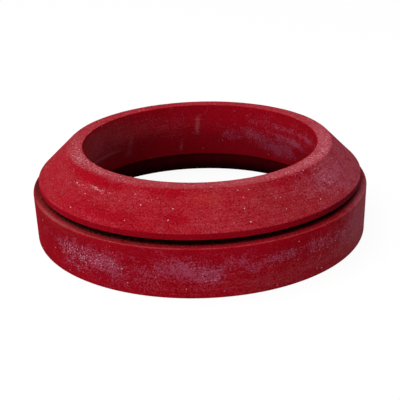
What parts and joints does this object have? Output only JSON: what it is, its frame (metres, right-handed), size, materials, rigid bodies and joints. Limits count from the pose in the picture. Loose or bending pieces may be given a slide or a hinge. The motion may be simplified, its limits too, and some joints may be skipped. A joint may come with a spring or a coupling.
{
  "type": "tank to bowl gasket",
  "caption": "Moulded rubber ring with a conical face, a groove under the cone's lip, a plain band and a recessed flat base, to seal a toilet tank to its bowl.",
  "frame": {"origin": "centre of the flat base, on the ring's axis", "axes": "+Z along the ring's axis from the flat base towards the rim at the top of the cone; X and Y are any two directions across the round part"},
  "size_m": [0.108, 0.108, 0.0282],
  "materials": {
    "gasket": "moulded crimson rubber, satin, with a pale bloom"
  },
  "bodies": {
    "root": {"gasket": "gasket"}
  },
  "joints": []
}
